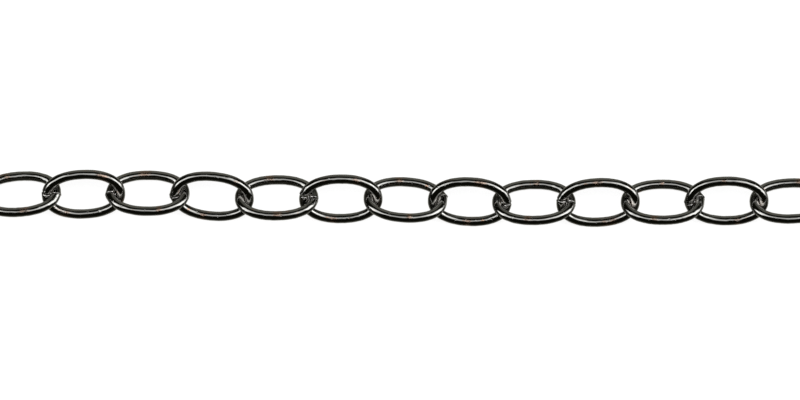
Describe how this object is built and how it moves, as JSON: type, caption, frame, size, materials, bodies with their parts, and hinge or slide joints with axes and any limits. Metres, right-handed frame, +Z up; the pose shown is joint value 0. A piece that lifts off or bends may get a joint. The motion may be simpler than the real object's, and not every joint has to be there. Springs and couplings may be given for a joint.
{
  "type": "oval link cable chain",
  "caption": "Glossy gunmetal oval-link cable chain of bent iron wire, lying straight, for hanging, securing or trimming.",
  "frame": {"origin": "middle of the chain's bounding box, at the floor it lies on", "axes": "+X along the chain from the left free end to the right one, +Z up from the floor"},
  "size_m": [0.306, 0.01, 0.006],
  "materials": {
    "gunmetal_plated_iron": "glossy black-nickel (gunmetal) plating on iron wire"
  },
  "bodies": {
    "link_01": {"link_01": "gunmetal_plated_iron"},
    "link_02": {"link_02": "gunmetal_plated_iron"},
    "link_03": {"link_03": "gunmetal_plated_iron"},
    "link_04": {"link_04": "gunmetal_plated_iron"},
    "link_05": {"link_05": "gunmetal_plated_iron"},
    "link_06": {"link_06": "gunmetal_plated_iron"},
    "link_07": {"link_07": "gunmetal_plated_iron"},
    "link_08": {"link_08": "gunmetal_plated_iron"},
    "link_09": {"link_09": "gunmetal_plated_iron"},
    "link_10": {"link_10": "gunmetal_plated_iron"},
    "link_11": {"link_11": "gunmetal_plated_iron"},
    "link_12": {"link_12": "gunmetal_plated_iron"},
    "link_13": {"link_13": "gunmetal_plated_iron"},
    "link_14": {"link_14": "gunmetal_plated_iron"},
    "link_15": {"link_15": "gunmetal_plated_iron"},
    "link_16": {"link_16": "gunmetal_plated_iron"},
    "link_17": {"link_17": "gunmetal_plated_iron"},
    "link_18": {"link_18": "gunmetal_plated_iron"},
    "link_19": {"link_19": "gunmetal_plated_iron"},
    "link_20": {"link_20": "gunmetal_plated_iron"},
    "link_21": {"link_21": "gunmetal_plated_iron"},
    "link_22": {"link_22": "gunmetal_plated_iron"},
    "link_23": {"link_23": "gunmetal_plated_iron"},
    "link_24": {"link_24": "gunmetal_plated_iron"}
  },
  "joints": [
    {"name": "swing_12_13", "type": "hinge", "parent": "link_12", "child": "link_13", "pos_m": [0.00221, -0.00006, 0.00298], "axis": [0.0244, 0.4994, 0.866], "range_deg": [-90, 90]},
    {"name": "swing_13_14", "type": "hinge", "parent": "link_13", "child": "link_14", "pos_m": [0.01481, -0.00032, 0.00298], "axis": [-0.0175, -0.4997, 0.866], "range_deg": [-90, 90]},
    {"name": "swing_14_15", "type": "hinge", "parent": "link_14", "child": "link_15", "pos_m": [0.0274, -0.00057, 0.00298], "axis": [0.014, -0.4998, -0.866], "range_deg": [-90, 90]},
    {"name": "swing_15_16", "type": "hinge", "parent": "link_15", "child": "link_16", "pos_m": [0.04001, -0.00054, 0.00298], "axis": [-0.0279, 0.4992, -0.866], "range_deg": [-90, 90]},
    {"name": "swing_16_17", "type": "hinge", "parent": "link_16", "child": "link_17", "pos_m": [0.0526, -0.00018, 0.00298], "axis": [-0.0087, 0.4999, 0.866], "range_deg": [-90, 90]},
    {"name": "swing_17_18", "type": "hinge", "parent": "link_17", "child": "link_18", "pos_m": [0.0652, 0.00025, 0.00298], "axis": [0.0052, -0.5, 0.866], "range_deg": [-90, 90]},
    {"name": "swing_18_19", "type": "hinge", "parent": "link_18", "child": "link_19", "pos_m": [0.07781, 0.00023, 0.00298], "axis": [0.0262, -0.4993, -0.866], "range_deg": [-90, 90]},
    {"name": "swing_19_20", "type": "hinge", "parent": "link_19", "child": "link_20", "pos_m": [0.0904, 0.00041, 0.00298], "axis": [0.014, 0.4998, -0.866], "range_deg": [-90, 90]},
    {"name": "swing_20_21", "type": "hinge", "parent": "link_20", "child": "link_21", "pos_m": [0.103, 0.00011, 0.00298], "axis": [0.0087, 0.4999, 0.866], "range_deg": [-90, 90]},
    {"name": "swing_21_22", "type": "hinge", "parent": "link_21", "child": "link_22", "pos_m": [0.1156, -0.00023, 0.00298], "axis": [0.0087, -0.4999, 0.866], "range_deg": [-90, 90]},
    {"name": "swing_22_23", "type": "hinge", "parent": "link_22", "child": "link_23", "pos_m": [0.1282, -0.00012, 0.00298], "axis": [0.014, -0.4998, -0.866], "range_deg": [-90, 90]},
    {"name": "swing_23_24", "type": "hinge", "parent": "link_23", "child": "link_24", "pos_m": [0.1408, 0.00016, 0.00298], "axis": [0.0087, 0.4999, -0.866], "range_deg": [-90, 90]},
    {"name": "swing_11_12", "type": "hinge", "parent": "link_12", "child": "link_11", "pos_m": [-0.0148, -0.00006, 0.00298], "axis": [-0.0122, 0.4999, 0.866], "range_deg": [-90, 90]},
    {"name": "swing_10_11", "type": "hinge", "parent": "link_11", "child": "link_10", "pos_m": [-0.02741, -0.00035, 0.00298], "axis": [-0.0418, -0.4982, 0.866], "range_deg": [-90, 90]},
    {"name": "swing_09_10", "type": "hinge", "parent": "link_10", "child": "link_09", "pos_m": [-0.04, 0.00047, 0.00298], "axis": [0.0035, -0.5, -0.866], "range_deg": [-90, 90]},
    {"name": "swing_08_09", "type": "hinge", "parent": "link_09", "child": "link_08", "pos_m": [-0.0526, 0.00032, 0.00298], "axis": [-0.0279, 0.4992, -0.866], "range_deg": [-90, 90]},
    {"name": "swing_07_08", "type": "hinge", "parent": "link_08", "child": "link_07", "pos_m": [-0.06521, 0.0003, 0.00298], "axis": [-0.0436, 0.4981, 0.866], "range_deg": [-90, 90]},
    {"name": "swing_06_07", "type": "hinge", "parent": "link_07", "child": "link_06", "pos_m": [-0.0778, -0.00023, 0.00298], "axis": [0.0035, -0.5, 0.866], "range_deg": [-90, 90]},
    {"name": "swing_05_06", "type": "hinge", "parent": "link_06", "child": "link_05", "pos_m": [-0.0904, -0.00013, 0.00298], "axis": [-0.0209, -0.4996, -0.866], "range_deg": [-90, 90]},
    {"name": "swing_04_05", "type": "hinge", "parent": "link_05", "child": "link_04", "pos_m": [-0.103, 0.00021, 0.00298], "axis": [0.0035, 0.5, -0.866], "range_deg": [-90, 90]},
    {"name": "swing_03_04", "type": "hinge", "parent": "link_04", "child": "link_03", "pos_m": [-0.1156, 0.00016, 0.00298], "axis": [-0.014, 0.4998, 0.866], "range_deg": [-90, 90]},
    {"name": "swing_02_03", "type": "hinge", "parent": "link_03", "child": "link_02", "pos_m": [-0.1282, -0.00014, 0.00298], "axis": [0.0087, -0.4999, 0.866], "range_deg": [-90, 90]},
    {"name": "swing_01_02", "type": "hinge", "parent": "link_02", "child": "link_01", "pos_m": [-0.1408, -0.00007, 0.00298], "axis": [-0.014, -0.4998, -0.866], "range_deg": [-90, 90]}
  ]
}
